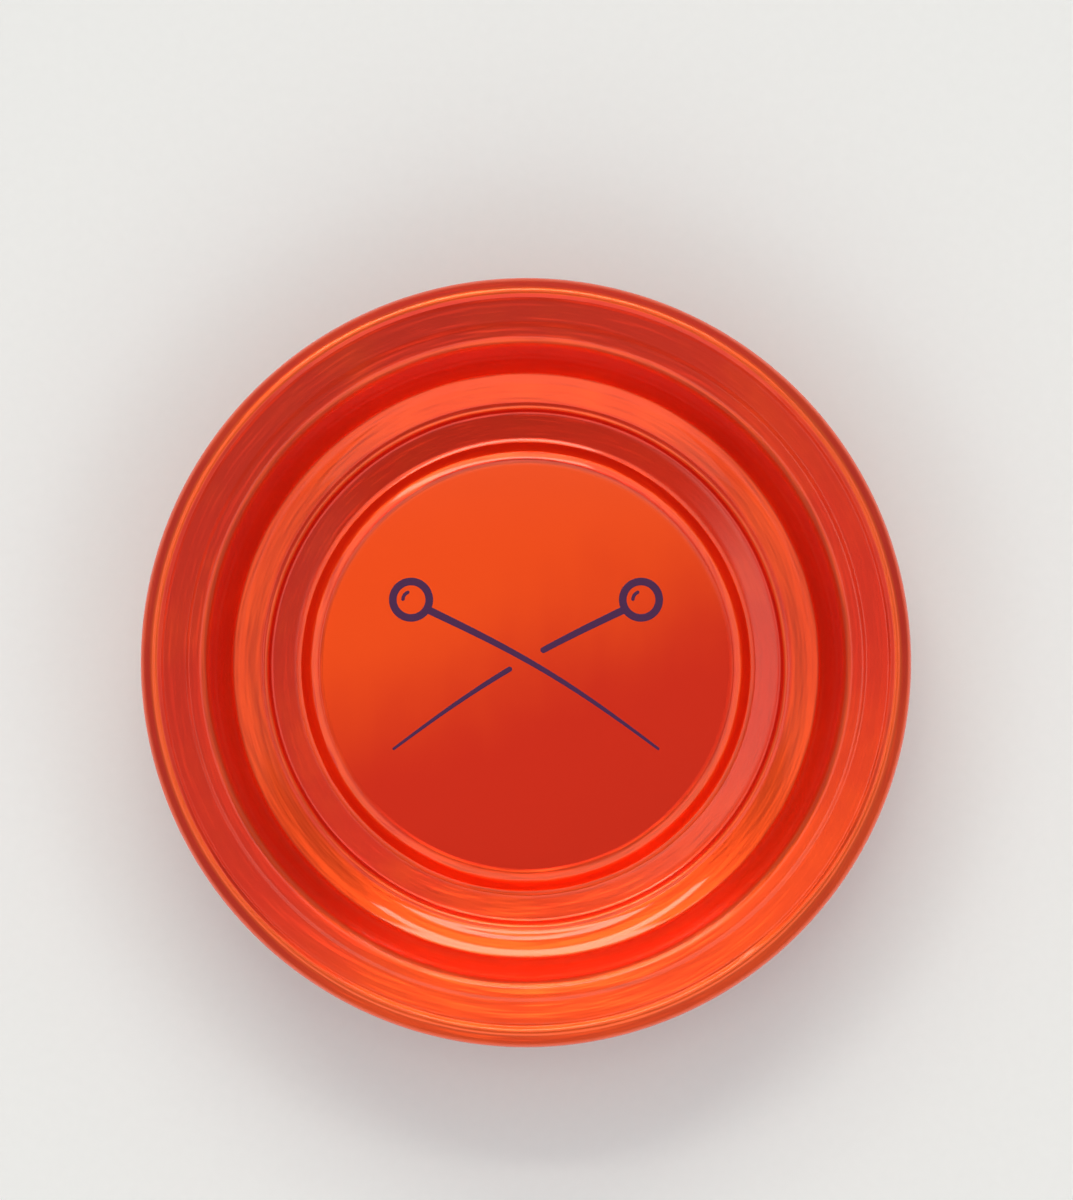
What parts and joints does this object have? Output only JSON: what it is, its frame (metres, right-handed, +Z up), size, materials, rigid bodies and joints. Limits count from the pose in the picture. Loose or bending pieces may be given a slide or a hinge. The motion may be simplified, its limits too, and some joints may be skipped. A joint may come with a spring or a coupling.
{
  "type": "magnetic pin bowl",
  "caption": "Round shallow bowl of lacquered metal sheet with a curled rim and a raised flat middle; a pot magnet in a rubber boot beneath holds sewing pins.",
  "frame": {"origin": "centre of the bowl's axis on the surface that it stands on", "axes": "+Z up along the bowl's axis, out of its open side; +Y is the top of the picture and +X its right"},
  "size_m": [0.108, 0.108, 0.0254],
  "materials": {
    "lacquered_sheet": "glossy transparent candy lacquer, orange red, over bright metal sheet",
    "boot_rubber": "soft black moulded rubber, fine matt grain",
    "boot_adhesive": "cured amber contact adhesive",
    "acrylic_tape": "white acrylic bonding tape, half matt",
    "zinc_steel": "bright zinc plate over pressed steel",
    "ferrite": "dark grey sintered ferrite, ground faces",
    "gap_plastic": "dark moulded nylon",
    "red_fibre": "vulcanised paper fibre, dark red",
    "eyelet_brass": "bright drawn brass"
  },
  "bodies": {
    "root": {"bowl": "lacquered_sheet", "base_boot": "boot_rubber", "boot_glue_ring": "boot_adhesive", "bonding_tape": "acrylic_tape", "magnet_cup": "zinc_steel", "ring_magnet": "ferrite", "gap_ring": "gap_plastic", "fibre_washer": "red_fibre", "clamp_eyelet": "eyelet_brass"}
  },
  "joints": []
}
